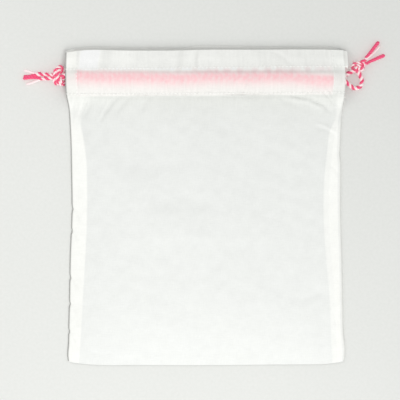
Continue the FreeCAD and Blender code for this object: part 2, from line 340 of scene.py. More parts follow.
def curve_through(points):
    """A smooth function of one variable through (position, value) points."""
    at = np.array([p[0] for p in points], float)
    value = np.array([p[1] for p in points], float)
    slope = np.gradient(value, at)

    def read(x):
        x = np.clip(x, at[0], at[-1])
        i = np.clip(np.searchsorted(at, x) - 1, 0, len(at) - 2)
        h = at[i + 1] - at[i]
        t = (x - at[i]) / h
        return ((2 * t ** 3 - 3 * t ** 2 + 1) * value[i] + (t ** 3 - 2 * t ** 2 + t) * h * slope[i]
                + (3 * t ** 2 - 2 * t ** 3) * value[i + 1] + (t ** 3 - t ** 2) * h * slope[i + 1])
    return read


def waves(seed, shortest, longest, count, direction=None, spread=math.pi):
    """Smooth unevenness from -1 to 1: a sum of seeded sine waves, in mm."""
    draw = np.random.default_rng(seed)
    angle = draw.uniform(-spread, spread, count) + (direction or 0.0)
    length = np.exp(draw.uniform(math.log(shortest), math.log(longest), count))
    phase = draw.uniform(0, 2 * math.pi, count)
    weight = (length / longest) ** 0.6

    def read(x, y):
        total = np.zeros(np.broadcast(x, y).shape)
        for a, l, p, w in zip(angle, length, phase, weight):
            total += w * np.sin(2 * math.pi * (x * math.cos(a) + y * math.sin(a)) / l + p)
        return total / weight.sum() * 1.8
    return read


def crease(x, y, points, width):
    """1 on a line through the points, 0 away from it, fading towards the line's ends."""
    best = np.full(x.shape, 1e9)
    place = np.zeros(x.shape)
    lengths = [math.dist(a, b) for a, b in zip(points, points[1:])]
    gone = 0.0
    for (ax, ay), (bx, by), run in zip(points, points[1:], lengths):
        t = np.clip(((x - ax) * (bx - ax) + (y - ay) * (by - ay)) / run ** 2, 0, 1)
        d = np.hypot(x - ax - t * (bx - ax), y - ay - t * (by - ay))
        nearer = d < best
        best = np.where(nearer, d, best)
        place = np.where(nearer, (gone + t * run) / sum(lengths), place)
        gone += run
    return np.exp(-(best / width) ** 2) * np.clip(4 * place * (1 - place), 0, 1) ** 0.7


# ---- outlines of the bag (mm) -------------------------------------------------------------------
EDGE = {
    LEFT: curve_through([(-127, 109.9), (-125, 111.1), (-122.6, 111.5), (-110, 111.0),
                         (-99.4, 110.9), (-74.6, 110.3), (-37.8, 109.6), (-1, 108.2),
                         (23.4, 108.5), (64.2, 109.6), (80.6, 110.8), (90.7, 112.4), (108, 112.9),
                         (127, 112.9)]),
    RIGHT: curve_through([(-127, 108.6), (-124, 110.0), (-119.4, 110.5), (-100, 109.3),
                          (-78.6, 108.8), (-37.8, 108.0), (-7.4, 107.1), (30, 107.1), (64, 107.2),
                          (76.6, 108.2), (90.7, 109.9), (102, 110.6), (112, 110.4),
                          (127, 109.5)]),
}
# The back layer shows beyond the front one on the right.
BACK_EDGE_TOP = curve_through([(84, 0.0), (96, 0.6), (112, 2.4), (127, 2.9)])
BOTTOM_LINE = curve_through([(-113, -122.8), (-108, -124.2), (-98, -125.4), (-50, -126.2),
                             (0, -126.3), (60, -125.8), (75, -125.7), (100, -124.9),
                             (108, -123.7), (113, -122.4)])
TOP_LINE = curve_through([(-113, 124.1), (-103, 125.5), (-60, 125.7), (-23, 125.8),
                          (-4, 126.3), (45, 126.4), (75, 126.6), (92, 126.5), (104, 126.2),
                          (109.5, 125.9), (113, 125.2)])
BACK_LAYER_UP = curve_through([(-113, 1.5), (-108, 2.4), (-100, 2.7), (-60, 2.9), (-32, 2.5),
                               (-24, 1.9), (-6, 3.8), (11, 3.5), (43, 2.9), (75, 2.2), (104, 1.6),
                               (110, -0.7), (113, -1.0)])
ROW_TILT = 0.0118                 # the upper stitch row climbs a little to the right
HEM_TILT = 0.0067
PUCKERS = [-1.0, -18.6, -56.0, -77.0, -100.0]      # notches in the left side seam
PUCKER_DEPTH, PUCKER_LENGTH = 0.75, 1.7
WAIST_Y, WAIST_DEPTH, WAIST_LENGTH = 44, 0.7, 5.0  # one soft dent in the right side


def half_width(side, y, back=False):
    wide = EDGE[side](y)
    if side == LEFT:
        for at in PUCKERS:
            wide = wide - PUCKER_DEPTH * bell(y - at, PUCKER_LENGTH)
    else:
        wide = wide - WAIST_DEPTH * bell(y - WAIST_Y, WAIST_LENGTH)
        if back:
            wide = wide + BACK_EDGE_TOP(y)
    return wide


def from_upper_row(x, y):
    return y - UPPER_ROW_Y - ROW_TILT * x


def from_hem(x, y):
    return y - HEM_Y - HEM_TILT * x


# ---- shape of the front, from above -------------------------------------------------------------
soft_waves = waves(11, 26, 95, 9)
mid_waves = waves(12, 9, 30, 10)
upright_waves = waves(13, 3.4, 15, 16, 0.0, 0.10)
fine_upright = waves(14, 1.9, 4.5, 18, 0.0, 0.06)
slanted_waves = waves(15, 7, 26, 12, 0.35, 0.45)

# Folds and drag lines: points, half width, and height (mm).
FRONT_CREASES = [
    ([(-90, 87), (-94, 80), (-99, 72)], 1.5, -0.40),
    ([(-96, 87), (-99.5, 81), (-103, 73)], 1.1, -0.30),
    ([(-67, 90.0), (-74.7, 84.8), (-78.3, 79.4), (-81.5, 75.8), (-85, 69)], 1.4, -1.00),
    ([(-72, 90.0), (-79.0, 83.6), (-82.5, 77.5), (-88, 68)], 1.5, 0.45),
    ([(-60, 90.0), (-66.0, 83.0), (-72, 76)], 1.7, -0.60),
    ([(-44, 90.0), (-49.0, 84.0), (-52, 77)], 2.2, -0.35),
    ([(-98, 87), (-100.5, 81.5), (-103, 74)], 0.8, 0.40),
    ([(-92.5, 89), (-96, 81), (-100, 71)], 0.8, 0.35),
    ([(-94.0, 89), (-97.6, 81), (-101.5, 72)], 0.8, -0.30),
    ([(-106, 88), (-106.5, 80), (-107, 66)], 0.9, -0.25),
    ([(66, 90.5), (73, 88.2), (82, 87.0), (93, 82.0), (101, 75)], 1.4, -1.30),
    ([(64, 87.5), (80, 84.6), (95, 79.0)], 1.3, 0.60),
    ([(56, 89.5), (62, 85.0), (72, 81.0)], 1.6, -0.45),
    ([(92.0, 97.5), (97.0, 90.5), (102.0, 82.5), (107, 75)], 0.8, 0.80),
    ([(91.5, 94.0), (98.0, 86.0), (104.5, 78.0)], 0.7, -0.70),
    ([(86, 67.5), (95, 65.0), (105, 59.5)], 1.1, 0.70),
    ([(88, 64.5), (96, 62.2), (104, 56.5)], 1.3, -0.50),
    ([(-98, -116.2), (-84, -117.4), (-66, -117.0)], 1.1, -0.22),
    ([(-16, -116.5), (0, -117.6), (18, -117.0)], 1.6, -0.18),
    ([(-34, 104), (-31.5, 98), (-31.2, 91)], 0.9, -0.32),
    ([(-11.5, 103), (-11.5, 97), (-12.5, 90)], 1.1, -0.25),
    ([(5.5, 101), (6.5, 96), (6.0, 90)], 1.2, 0.25),
    ([(32, 104), (31, 97), (28, 90)], 1.0, -0.30),
    ([(-8.6, 126), (-8.2, 119), (-6.6, 112)], 0.9, -0.45),
    ([(-5.0, 126), (-5.6, 119), (-5.0, 112)], 1.2, 0.30),
    ([(-62, 104), (-60.5, 97), (-61, 90)], 0.9, -0.30),
    ([(52, 125), (62, 120), (70, 112)], 1.6, -0.28),
    ([(66, -76), (84, -72), (100, -66)], 3.2, -0.35),
    ([(-97, -86), (-88, -85.5), (-80, -85.8)], 1.2, -0.16),
    ([(98, 34), (103, 30), (106, 25)], 1.1, -0.45),
    ([(-80, 36), (-40, 30), (-10, 33)], 6.0, -0.40),
    ([(-60, -2), (-20, 3), (30, -3)], 7.0, -0.40),
    ([(-70, -27), (-20, -24), (40, -30)], 6.5, 0.35),
]


def pucker_lines(x, y):
    """Short slanting creases that run down and inwards from each notch in the left seam."""
    total = np.zeros(x.shape)
    for at in PUCKERS:
        edge = -float(half_width(LEFT, np.array(at)))
        valley = [(edge, at + 0.6), (edge + 2.6, at - 3.2), (edge + 6, at - 9)]
        ridge = [(edge, at - 1.6), (edge + 4.4, at - 5.0)]
        total += 0.22 * crease(x, y, ridge, 0.9) - 0.34 * crease(x, y, valley, 0.75)
    return total


def row_height(x0, from_row):
    """Cloth pulled down between the stitches of a row, in mm."""
    return (0.075 * np.cos(2 * math.pi * x0 / STITCH_PITCH) * bell(from_row, 1.9)
            - 0.13 * bell(from_row, 0.8))


# Height of the front cloth over the casing and header, and of the facing under it, along y.
CASING_TOP = curve_through([(86, 10.30), (HEM_Y, 10.38), (92.5, 10.50), (95.5, 11.30),
                            (98.5, 12.60), (101.4, 13.60), (104.4, 13.92), (107.4, 13.60),
                            (109.7, 12.08), (UPPER_ROW_Y, 10.72), (115, 9.30), (120, 7.40),
                            (MOUTH_Y, 4.90), (129, 3.8)])
CASING_BASE = curve_through([(86, 10.30), (HEM_Y, 10.38), (92.5, 10.45), (104.4, 10.75),
                             (UPPER_ROW_Y, 10.05), (115, 9.10), (120, 7.30), (MOUTH_Y, 4.90),
                             (129, 3.8)])
FACING_TOP = curve_through([(HEM_Y - 3, 9.62), (104, 9.66), (108, 9.80), (UPPER_ROW_Y, 9.70),
                            (115, 8.75), (120, 6.90), (MOUTH_Y, 4.50), (129, 3.4)])

# The front panel's middle and its rim along the sides, at their lowest and what they gain.
MIDDLE_LOW, MIDDLE_GAIN = 1.5, 8.65
RIM_LOW, RIM_GAIN = 2.0, 8.0
SLIT_DROOP = 2.3                  # how far the casing hangs down at the open slit
UNDER_HEM_DIP = 0.28
RIPPLE, FINE_RIPPLE, CASING_RIPPLE, SLANTED_RIPPLE = 0.24, 0.15, 0.30, 0.24
SOFT_SWELL, MID_SWELL = 0.62, 0.16


def front_height(side, s, x, y):
    """Height of the front cloth's upper face. s is 0 at the middle and 1 at the side."""
    x0 = side * s * MOUTH_HALF
    sink = np.clip((-60 - y) / 65.25, 0, 1)
    middle = MIDDLE_LOW + MIDDLE_GAIN * (1 - sink ** 3)
    rim = RIM_LOW + RIM_GAIN * rise(y, 77, 20)
    rolled = rise(s, 0.987, 0.016) * (1 - rise(y, 86, 8))
    body = rim + (middle - rim) * (1 - s ** 3.4) - rolled
    edge_fade = 1 - 0.55 * rise(np.abs(x0), 104.5, 8.5)
    droop = SLIT_DROOP * rise(np.abs(x0), 99.0, 15.0) * (1 - 0.75 * rise(y, 109, 12))
    head = CASING_BASE(y) + (CASING_TOP(y) - CASING_BASE(y)) * edge_fade - droop
    high = body + (head - body) * rise(y, 83.5, 6.5)
    past_row, past_hem = from_upper_row(x, y), from_hem(x, y)
    high = high - UNDER_HEM_DIP * bell(past_hem + 1.3, 1.1)

    above_hem = smooth(past_hem)
    near_rows = (bell(past_row, 5.0) + bell(past_hem - 2, 6.0)
                 + 0.8 * bell(np.clip(-past_hem, 0, 60), 15.0) * (1 - above_hem))
    high = high + near_rows * (RIPPLE * upright_waves(x0, 0.25 * y)
                               + FINE_RIPPLE * fine_upright(x0, y))
    high = high + above_hem * CASING_RIPPLE * upright_waves(x0 + 40, 0.2 * y)
    high = high + (above_hem * SLANTED_RIPPLE * slanted_waves(x0, y)
                   * (1 - 0.7 * smooth((104 - y) / 8)))
    high = high + row_height(x0, past_row) + row_height(x0, past_hem - LOWER_ROW_UP)

    calm = (1 - above_hem) * smooth((1 - s) / 0.12) * rise(y, -126, 25)
    high = high + calm * (SOFT_SWELL * soft_waves(x, y) + MID_SWELL * mid_waves(x, y))
    for points, width, height in FRONT_CREASES:
        high = high + height * crease(x, y, points, width)
    if side == LEFT:
        high = high + pucker_lines(x, y)
    return high


# ---- colour of the cloth -------------------------------------------------------------------------
BODY_WHITE = np.array([0.788, 0.797, 0.780])
LAYERED_WHITE = np.array([0.915, 0.915, 0.885])
HEADER_WHITE = np.array([0.930, 0.929, 0.902])
HEM_WHITE = np.array([0.842, 0.828, 0.802])
SLIT_WHITE = {LEFT: np.array([0.975, 0.972, 0.935]),
              RIGHT: np.array([0.915, 0.921, 0.890])}
PINK_GLOW = np.array([0.905, 0.600, 0.622])
MAUVE_SHADE = np.array([0.060, 0.150, 0.130])      # what the lobes over the cords take away
GATHERED_SHADE = np.array([0.035, 0.035, 0.055])   # and the gathers under the hem
ALLOWANCE_INNER = {
    LEFT: curve_through([(-126, 102.4), (-114, 101.4), (-74, 99.0), (-2, 95.6), (22, 95.6),
                         (38, 96.2), (58, 98.9), (68, 100.7), (73, 99.8), (81, 96.0),
                         (88.5, 92.8), (92, 92.0)]),
    RIGHT: curve_through([(-126, 100.4), (-119, 99.9), (-64, 97.2), (-38, 94.8), (-7, 93.0),
                          (24, 93.6), (50, 96.6), (62, 98.6), (70, 102.4), (78, 103.9),
                          (90, 103.4)]),
}
# Painted light and shade across the header, in bands along its soft folds, by distance from the
# middle.
HEADER_FOLD_LIGHT_AND_SHADE = {
    LEFT: curve_through([(0, 0.008), (6, 0.0), (8, -0.045), (9.5, 0.0), (17, 0.0), (22.5, -0.050),
                         (24.5, -0.004), (30, -0.006), (44, -0.006), (50, 0.0), (57, 0.0),
                         (60.5, 0.020), (72, 0.034), (84.5, 0.014), (86.5, 0.084),
                         (101, 0.080), (103, 0.0), (113, 0.0)]),
    RIGHT: curve_through([(0, 0.004), (14, 0.012), (30, 0.0), (44, -0.014), (70, -0.020),
                          (96, -0.026), (101, -0.020), (103, 0.0), (113, 0.0)]),
}
band_waves = waves(21, 2.6, 11, 22)
band_uprights = waves(22, 1.6, 7, 20, 0.0, 0.12)
lobe_waves = waves(24, 6, 13, 8, 0.0, 0.5)
streak_waves = waves(25, 3, 9, 8, 0.0, 0.1)
mottle = waves(23, 5, 34, 16)

# How far the pink of the cords comes through the cloth, across the channel.
GLOW = curve_through([(92, 0.0), (94.5, 0.05), (96.8, 0.17), (98.8, 0.36), (100.8, 0.64),
                      (102.6, 0.88), (104.2, 1.0), (106.8, 1.0), (108.2, 0.78), (109.6, 0.50),
                      (111.0, 0.22), (112.8, 0.0), (115, 0.0)])
TWIST_SHOWING = 0.13
# What differs between the sides: how far inside the slit hem begins, how much pink it takes,
# how far the pink fades into it, and how much painted shade lies on the turned edge.
HEM_STARTS = {LEFT: 1.0, RIGHT: 0.2}
BLUSH = {LEFT: 0.20, RIGHT: 0.10}
PINK_REACH, PINK_FADE = {LEFT: 0.5, RIGHT: 0.0}, {LEFT: 5.0, RIGHT: 0.8}
EDGE_SHADE = {LEFT: 0.64, RIGHT: 0.10}
# painted light towards the right side's edge, and painted shade (a negative share) towards the left
# side's edge
SIDE_PAINTED_LIGHT = {LEFT: -0.012, RIGHT: 0.030}
EDGE_FROM, EDGE_LENGTH = 0.9902, 0.0068
BRIGHTEST = 0.975


def mix(a, b, t):
    return a + (b - a) * t[..., None]


def toned(colour, factor):
    """Colours multiplied by one factor at each point."""
    return colour * np.asarray(factor)[..., None]


def cords_under(side, x, y):
    """How strongly the pink of the two cords comes through the cloth, 0 to 1."""
    wander = 0.5 * np.sin(x / 23.0) + 0.35 * np.sin(x / 9.0 + 1) - 1.6 * rise(x, 62, 38)
    lower_top = (0.8 + 1.1 * rise(x, -75, 60)) * rise(y, 103, 4)
    lower_base = 0.7 * smooth((106 - y) / 4)
    total = GLOW(y + lower_top + lower_base - wander * smooth((114 - y) / 4))
    for centre, phase, lean in ((UPPER_CORD_Y, 0.6, 0.9), (LOWER_CORD_Y, 3.4, -0.7)):
        off = y - centre - wander
        twist = np.cos(2 * math.pi * x / TWIST_PITCH + phase + off * lean + 1.3 * np.sin(x / 13.0))
        total = total + TWIST_SHOWING * twist * bell(off, 1.7)
    uneven = 1 + 0.24 * band_waves(x, y) + 0.26 * band_uprights(x, y)
    inside = 1 - rise(np.abs(x) - PINK_REACH[side], SLIT_INNER, PINK_FADE[side])
    return np.clip(total * uneven, 0, 1.15) * inside


def panel_tint(side, x0, x, y):
    """The single cloth of the panel, whiter where a seam allowance lies under it."""
    lower = smooth((80 - y) / 200)
    gathered = np.exp(-np.clip(HEM_Y - y, 0, 60) / 13.0)
    body = toned(BODY_WHITE, (1 + 0.022 * lower) * (1 + 0.008 * mottle(x, y)))
    # painted shade under the hem, where the cloth is gathered, in lighter and darker upright
    # stripes along the gathers
    body = toned(body, 1 + 0.020 * gathered * band_uprights(x0 + 30, y * 0.3))
    body = body * (1 - gathered[..., None] * GATHERED_SHADE)
    from_inner = np.abs(x) - ALLOWANCE_INNER[side](y)
    softer = rise(y, 60, 18)
    overlap = smooth((from_inner + 0.5 + softer) / (1.3 + 2 * softer))
    if side == LEFT:
        # near the hem the allowance shows less, in slanting streaks, except along the edge
        streaks = 0.42 + 0.22 * streak_waves(x0 - 0.42 * y, y)
        outer = rise(np.abs(x) - half_width(LEFT, y), -3.6, 2.2)
        overlap = overlap * (1 - softer * (1 - np.maximum(streaks, 0.75 * outer)))
    else:
        # the second, lower allowance shows as a slightly darker line inside the first
        line = bell(from_inner - 0.4, 0.7) * smooth((60 - y) / 20)
        step = rise(from_inner, 4.2, 1.0)
        doubled = bell(half_width(RIGHT, y) - np.abs(x) - 1.7, 0.45)
        overlap = overlap * (1 - 0.35 * softer) * (0.74 + 0.26 * step) - 0.32 * line
        overlap = overlap - 0.75 * doubled * (1 - rise(y, 72, 6))
    white = toned(LAYERED_WHITE, 1.005 - 0.040 * lower)
    return mix(body, white, np.clip(overlap, -0.4, 1))


def casing_tint(side, s, x0, x, y):
    """The layered hem: header, channel with the cords' pink, and the slit hem at its end."""
    past_row = from_upper_row(x, y)
    # the header's painted light and shade along its folds, with slanting edges
    leaning = np.abs(x0) + 0.16 * (y - 119) + 0.5 * band_waves(x0 * 0.3, y)
    head = toned(HEADER_WHITE, (1 + HEADER_FOLD_LIGHT_AND_SHADE[side](leaning) * rise(y, 106, 5))
                 * (1 + 0.020 * band_uprights(x0, y * 0.3) + 0.012 * band_waves(x0, y)))
    hem = toned(HEM_WHITE, 1 + 0.030 * band_uprights(x0 + 60, y * 0.3)
                + 0.014 * band_waves(x, y) + 0.035 * smooth((98 - y) / 7) - 0.018 * (1 - s))
    casing = mix(hem, head, rise(y, 107.5, 3.0))
    pink = cords_under(side, x, y)
    casing = mix(casing, PINK_GLOW, pink)
    # painted light on the bank above the cords, which catches less light, and painted shade where
    # the lobes of the cords show on it
    casing = toned(casing, (1 + 0.055 * bell(past_row + 1.8, 1.6))
                   * (1 + 0.050 * bell(past_row + 2.1, 2.3)))
    lobes = smooth(0.62 + 0.75 * lobe_waves(x0, 0.4 * y)) * rise(x, -50, 60)
    casing = casing * (1 - (bell(past_row + 2.7, 2.4) * lobes)[..., None] * MAUVE_SHADE)
    strip = rise(np.abs(x0), SLIT_INNER + HEM_STARTS[side], 0.9)
    if side == LEFT:
        strip = strip * (1 - 0.6 * pink)
    # painted shade on the lower part of the slit hem
    slit_painted_shade = 1 - 0.125 * (1 - rise(y, 105, 9))
    casing = mix(casing, toned(SLIT_WHITE[side], slit_painted_shade), strip)
    casing = mix(casing, PINK_GLOW, BLUSH[side] * strip * bell(y - 102.5, 5.0))
    return toned(casing, 1 - 0.05 * bell(np.abs(x0) - SLIT_INNER + 0.3, 0.55))


def front_tint(side, s, x, y):
    x0 = side * s * MOUTH_HALF
    past_row, past_hem = from_upper_row(x, y), from_hem(x, y)
    colour = mix(panel_tint(side, x0, x, y), casing_tint(side, s, x0, x, y),
                 rise(past_hem, -0.3, 0.7))
    # a painted shadow line just under the hem's edge
    colour = toned(colour, 1 - 0.030 * bell(past_hem + 0.9, 0.9))
    # painted shade in the stitch holes of both rows, and the cloth made lighter between them
    hole = 0.5 - 0.5 * np.cos(2 * math.pi * x0 / STITCH_PITCH)
    for past in (past_row, past_hem - LOWER_ROW_UP):
        near = bell(past, 0.62)
        colour = toned(colour, (1 - 0.050 * near * hole ** 2) * (1 + 0.085 * near * (1 - hole)))
    # painted shade along the valleys of the folds and painted light along their ridges
    for points, width, height in FRONT_CREASES:
        colour = toned(colour, 1 + 0.060 * height * crease(x, y, points, width * 0.8))
    if side == LEFT:
        # painted shade along the pucker valleys and painted light on their ridges
        colour = toned(colour, 1 + 0.16 * pucker_lines(x, y))
    # painted light towards the right side's edge and painted shade towards the left one, and
    # painted shade on the turned edge of the cloth
    level = 1 + SIDE_PAINTED_LIGHT[side] * s ** 3 - EDGE_SHADE[side] * rise(s, EDGE_FROM, EDGE_LENGTH)
    return np.clip(toned(colour, level), 0, BRIGHTEST)


def plain_tint(level, x, y):
    base = LAYERED_WHITE * level * np.ones((*x.shape, 3))
    return toned(base, 1 + 0.006 * mottle(x, y))


# ---- building cloth ------------------------------------------------------------------------------
FOLD_RADIUS = 0.75                # outer radius of the turn along the bottom
SKIN_GAP = 0.02                   # space left between layers that lie on each other
HEAD_FROM = 87.5                  # the grid is finer from here up


def finish_cloth(made, tint, plan, sharp_angle):
    """Sharpens the folds, and stores each point's colour and its flat place, in mm."""
    mesh = made.data
    mesh.set_sharp_from_angle(angle=math.radians(sharp_angle))
    paint = mesh.color_attributes.new("tint", "FLOAT_COLOR", "POINT")
    opaque = np.concatenate([tint, np.ones((len(tint), 1))], axis=1)
    paint.data.foreach_set("color", opaque.astype(np.float32).ravel())
    flat = mesh.uv_layers.new(name="flat")
    corner = np.zeros(len(mesh.loops), np.int32)
    mesh.loops.foreach_get("vertex_index", corner)
    flat.data.foreach_set("uv", (plan * MM)[corner].astype(np.float32).ravel())


def cloth_piece(name, x, y, z, tint, thick=CLOTH):
    """A closed sheet of cloth from a grid of points on its upper face (arrays, in mm)."""
    rows, columns = x.shape
    top = joined(x, y, z)
    normal = unit(np.cross(np.gradient(top, axis=1), np.gradient(top, axis=0)))
    normal *= np.where(normal[..., 2:] < 0, -1, 1)
    bottom = top - normal * thick
    bottom[..., 2] = np.maximum(bottom[..., 2], 0.0)
    points = np.concatenate([top.reshape(-1, 3), bottom.reshape(-1, 3)])
    count = rows * columns
    upper = grid_faces(rows, columns)
    flip = float(np.cross(top[0, 1] - top[0, 0], top[1, 0] - top[0, 0])[2]) < 0
    if flip:
        upper = upper[:, ::-1]
    lower = upper[:, ::-1] + count
    ring = np.concatenate([np.arange(columns), np.arange(1, rows) * columns + columns - 1,
                           (rows - 1) * columns + np.arange(columns - 2, -1, -1),
                           np.arange(rows - 2, 0, -1) * columns])
    after = np.roll(ring, -1)
    rim = np.stack([after, ring, ring + count, after + count], axis=-1)
    if flip:
        rim = rim[:, ::-1]
    faces = np.concatenate([upper, lower, rim])
    made = add_mesh(name, points, faces.tolist(), [cotton])
    plan = joined(x, y).reshape(-1, 2)
    finish_cloth(made, np.concatenate([tint.reshape(-1, 3)] * 2), np.concatenate([plan] * 2), 50)
    gather(made)
    return made


def gather(made):
    """Bakes the piece's placing into its points."""
    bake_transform(made)


def joined_spans(*spans):
    """Levels from (start, end, count) spans that follow on from each other."""
    parts = [np.linspace(*span)[:-1] for span in spans[:-1]]
    return np.concatenate([*parts, np.linspace(*spans[-1])])


def outline_grid(side, rows, share, back=False):
    """x and y of a grid of points that fills the bag's outline on one side."""
    level, s = spread(rows, share)
    x = side * s * half_width(side, level, back)
    top = TOP_LINE(x) + (BACK_LAYER_UP(x) if back else 0.0)
    y = level + (BOTTOM_LINE(x) - BOTTOM_Y) * near_bottom(level) + (top - MOUTH_Y) * near_top(level)
    return s, x, y


def near_bottom(level):
    return 1 - rise(level, -126, 45)


def near_top(level):
    return rise(level, 113, 13)


def make_front(side):
    rows = joined_spans((BOTTOM_Y + FOLD_RADIUS, -112, 14), (-112, 60, 94), (60, HEAD_FROM, 23),
                        (HEAD_FROM, MOUTH_Y, 74))
    s, x, y = outline_grid(side, rows, np.linspace(0, 1, 183))
    z = front_height(side, s, x, y)
    made = cloth_piece(f"{SIDE_NAME[side]}_front_cloth", x, y, z, front_tint(side, s, x, y))
    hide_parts("front_panel", "front_casing")
    return made


def back_height(side, s, x, y):
    high = 0.32 + 0.05 * (1 + upright_waves(x + 90, 0.2 * y)) * rise(y, 60, 25)
    rolled = 0.42 * rise(s, 0.985, 0.015) * (1 - rise(y, 86, 8))
    if side == RIGHT:
        # at the right slit the back cloth comes up to the front one
        close = rise(s, 0.935, 0.035) * rise(y, 109.5, 3.5)
        high = high + (CASING_BASE(y) - 2.2 - high) * close
    return high + rolled


def make_back(side):
    rows = joined_spans((BOTTOM_Y + FOLD_RADIUS, 84, 90), (84, MOUTH_Y, 50))
    s, x, y = outline_grid(side, rows, np.linspace(0, 1, 121), back=True)
    tint = plain_tint(0.97, x, y)
    # painted light on the back cloth up to the front cloth's top line, and painted shade on the
    # band that shows beyond it
    beyond = rise(y - TOP_LINE(x), 0.8, 1.6) * (1 - rise(s, 0.93, 0.02))
    tint = mix(tint * 1.08, tint * 0.89, beyond)
    if side == RIGHT:
        tint = mix(tint, 0.95, rise(y, 90, 4) * rise(s, 0.95, 0.03))
    z = back_height(side, s, x, y)
    made = cloth_piece(f"{SIDE_NAME[side]}_back_cloth", x, y, z, tint)
    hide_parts("back_panel", "back_casing")
    return made


def make_bottom_fold():
    """The turn of cloth along the bottom, one strip from side to side, with painted shade where it
    turns under.
    """
    across = np.linspace(-1, 1, 241)
    turn = np.linspace(0, math.pi, 9)
    level = np.full_like(across, BOTTOM_Y + FOLD_RADIUS)
    wide = np.where(across < 0, half_width(LEFT, level), half_width(RIGHT, level))
    x = across * wide
    start_y = level + (BOTTOM_LINE(x) - BOTTOM_Y)
    rings = []
    for radius in (FOLD_RADIUS, FOLD_RADIUS - CLOTH):
        y = start_y[:, None] - radius * np.sin(turn)[None, :]
        z = FOLD_RADIUS + radius * np.cos(turn)[None, :] + 0 * y
        rings.append(joined(np.repeat(x[:, None], len(turn), 1), y, z))
    outside, inside = rings
    loop = np.concatenate([outside, inside[:, ::-1]], axis=1)
    rows, columns = loop.shape[:2]
    faces = grid_faces(rows, columns, closed=True).tolist()
    last = (rows - 1) * columns
    for i in range(columns // 2 - 1):
        opposite = columns - 1 - i
        faces.append([i + 1, i, opposite, opposite - 1])
        faces.append([last + i, last + i + 1, last + opposite - 1, last + opposite])
    points = loop.reshape(-1, 3)
    made = add_mesh("bottom_fold_cloth", points, faces, [cotton])
    turned = np.tile(np.concatenate([turn, turn[::-1]]), rows)
    # painted shade as the cloth turns under
    tint = toned(BODY_WHITE, 1.06 - 0.40 * rise(turned, 0.3, 1.0))
    finish_cloth(made, tint, joined(points[:, 0], points[:, 1] + points[:, 2]), 60)
    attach(made, "bag")
    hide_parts("bottom_fold")


def make_facings(side):
    """The hem's inner layer on the front and on the back, with its raw edge turned under."""
    name = SIDE_NAME[side]
    rows = joined_spans((HEM_Y, HEM_Y + 6.5, 9), (HEM_Y + 6.5, 125.6, 48))
    level, s = spread(rows, np.linspace(0, 1, 101))
    x = side * s * FACING_HALF
    y = (level + HEM_TILT * x * (1 - rise(level, 92, 20))
         + (TOP_LINE(x) - MOUTH_Y) * rise(level, 113, 12.6))
    ripple = 0.06 * upright_waves(x + 17, 0.2 * y)
    up_at_edge = 0.12 * rise(level, 124.4, 1.2)
    under_front = front_height(side, np.abs(x) / half_width(side, y), x, y) - CLOTH - 0.05
    z = np.minimum(FACING_TOP(y) + ripple + up_at_edge, under_front)
    front = cloth_piece(f"{name}_front_hem_facing", x, y, z, plain_tint(0.97, x, y))
    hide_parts("front_hem_facing")
    over_cords = 3.75 * (rise(level, 92.4, 8.8) - rise(level, 107.6, 3.8))
    z = 0.84 + 0.14 * (1 - rise(level, 95, 4)) + over_cords + ripple * 0.6 - 0.12 * up_at_edge
    back = cloth_piece(f"{name}_back_hem_facing", x, y, z, plain_tint(0.99, x, y))
    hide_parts("back_hem_facing")
    return front, back


def make_slit_hems(side):
    """The slit allowances, turned back under the front cloth and over the back cloth."""
    name = SIDE_NAME[side]
    level, t = spread(np.linspace(90.7, 125.8, 70), np.linspace(0, 1, 18))
    made = []
    for which in ("front", "back"):
        wide = half_width(side, level, which == "back")
        inner = SLIT_INNER * wide / MOUTH_HALF
        x = side * (inner + (wide - 0.06 - inner) * t)
        s = np.abs(x) / wide
        y = level + (TOP_LINE(x) - MOUTH_Y) * near_top(level)
        if which == "back":
            z = back_height(side, s, x, y) + CLOTH + SKIN_GAP
        else:
            z = front_height(side, s, x, y) - CLOTH - SKIN_GAP
        piece = cloth_piece(f"{name}_slit_{which}_turning", x, y, z, plain_tint(0.99, x, y))
        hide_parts(f"{name}_slit_{which}_hem")
        made.append(piece)
    return made


def make_allowances(side):
    """Seam allowances inside the side seams, and the narrow seam itself."""
    name = SIDE_NAME[side]
    made = []
    strips = {"allowance_front": (1.0, None, 1.15), "allowance_back": (1.0, None, 0.75),
              "side_seam": (0.12, 0.75, 1.02)}
    for piece_name, (inset, width, z_top) in strips.items():
        if width:
            low, high, columns, wave, thick = BOTTOM_Y + 0.8, HEM_Y, 4, 0.0, 0.65
        else:
            low, high, columns, wave, thick = -122, HEM_Y - 1.5, 20, 0.02, 0.28
        level, t = spread(np.linspace(low, high, 120), np.linspace(0, 1, columns))
        outer = half_width(side, level) - inset
        inner = outer - width if width else ALLOWANCE_INNER[side](level)
        x = side * (inner + (outer - inner) * t)
        y = level + (BOTTOM_LINE(x) - BOTTOM_Y) * near_bottom(level)
        z = z_top + wave * np.sin(level / 3.0)
        piece = cloth_piece(f"{name}_{piece_name}_cloth", x, y, z, plain_tint(0.98, x, y),
                            thick=thick)
        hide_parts(f"{name}_{piece_name}")
        made.append(piece)
    return made


# ---- sewing thread ------------------------------------------------------------------------------
STITCH_RISE = np.array([0.0, 0.75, 1.0, 1.0, 0.75, 0.0])
STITCH_PLACE = np.array([-0.5, -0.40, -0.18, 0.18, 0.40, 0.5])
STITCH_LENGTH = 2.3
ROW_THREAD, SLIT_THREAD, OVERLOCK_THREAD, BARTACK_THREAD = 0.25, 0.20, 0.13, 0.11
END_TAPER = 0.35                  # a tube's ends are drawn in to this share of its radius


